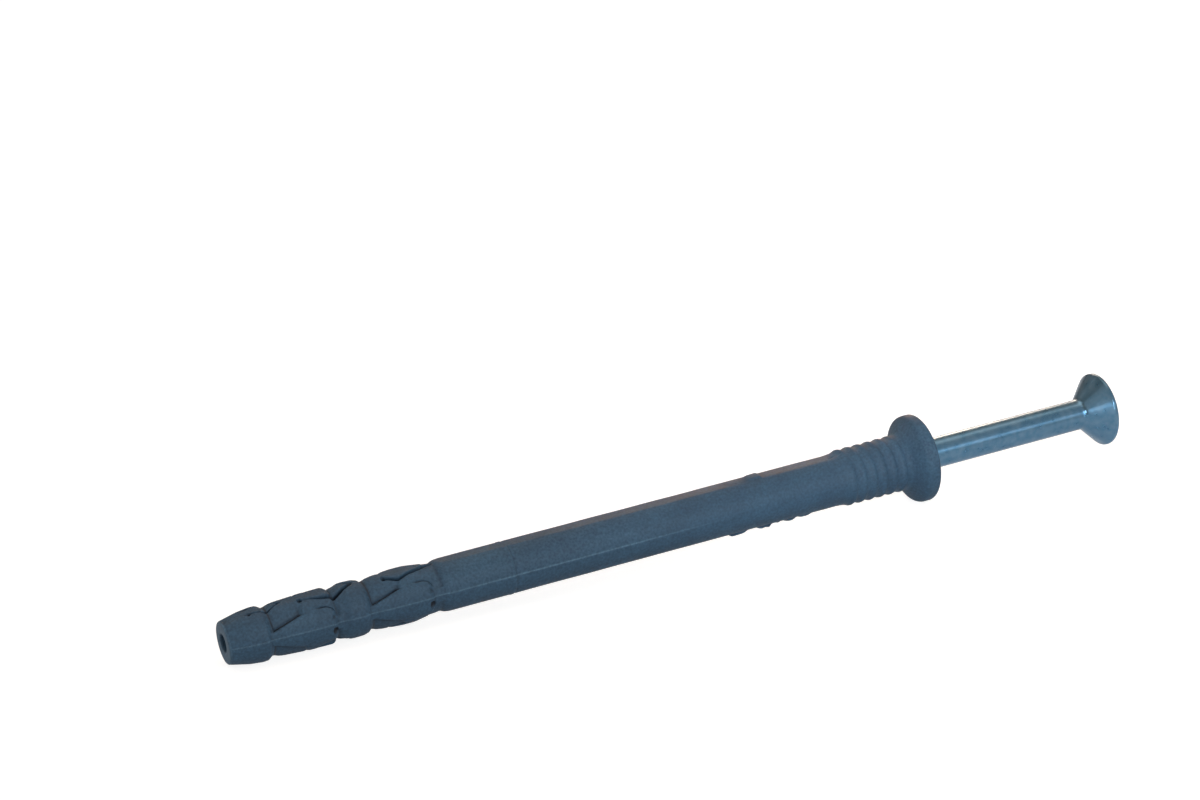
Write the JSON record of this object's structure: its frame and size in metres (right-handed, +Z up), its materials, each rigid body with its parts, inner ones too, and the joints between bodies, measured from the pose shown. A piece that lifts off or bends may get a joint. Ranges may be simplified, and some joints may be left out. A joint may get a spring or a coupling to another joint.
{
  "type": "wall plug",
  "caption": "Hammer-in frame plug: long ribbed nylon sleeve with expansion pads and a countersunk collar, with a cross-recess nail screw part-way in.",
  "frame": {"origin": "centre of the bounding box's base, on the surface that the plug lies on", "axes": "+X towards the nail's head, tipped up by 1.61 degrees because the collar is wider than the tip; +Z up; the arrow pads face -Y and +Y, and the flats on the tip face down and up"},
  "size_m": [0.1482, 0.0138, 0.0138],
  "materials": {
    "nylon": "matt moulded nylon, dark blue grey",
    "zinc_plated_steel": "bright zinc plating with a blue passivation"
  },
  "bodies": {
    "sleeve_body": {"sleeve": "nylon"},
    "nail_body": {"nail_screw": "zinc_plated_steel"}
  },
  "joints": [
    {"name": "nail_drive", "type": "slide", "parent": "sleeve_body", "child": "nail_body", "axis": [-0.9996, 0, -0.028], "range_m": [0, 0.033]}
  ]
}
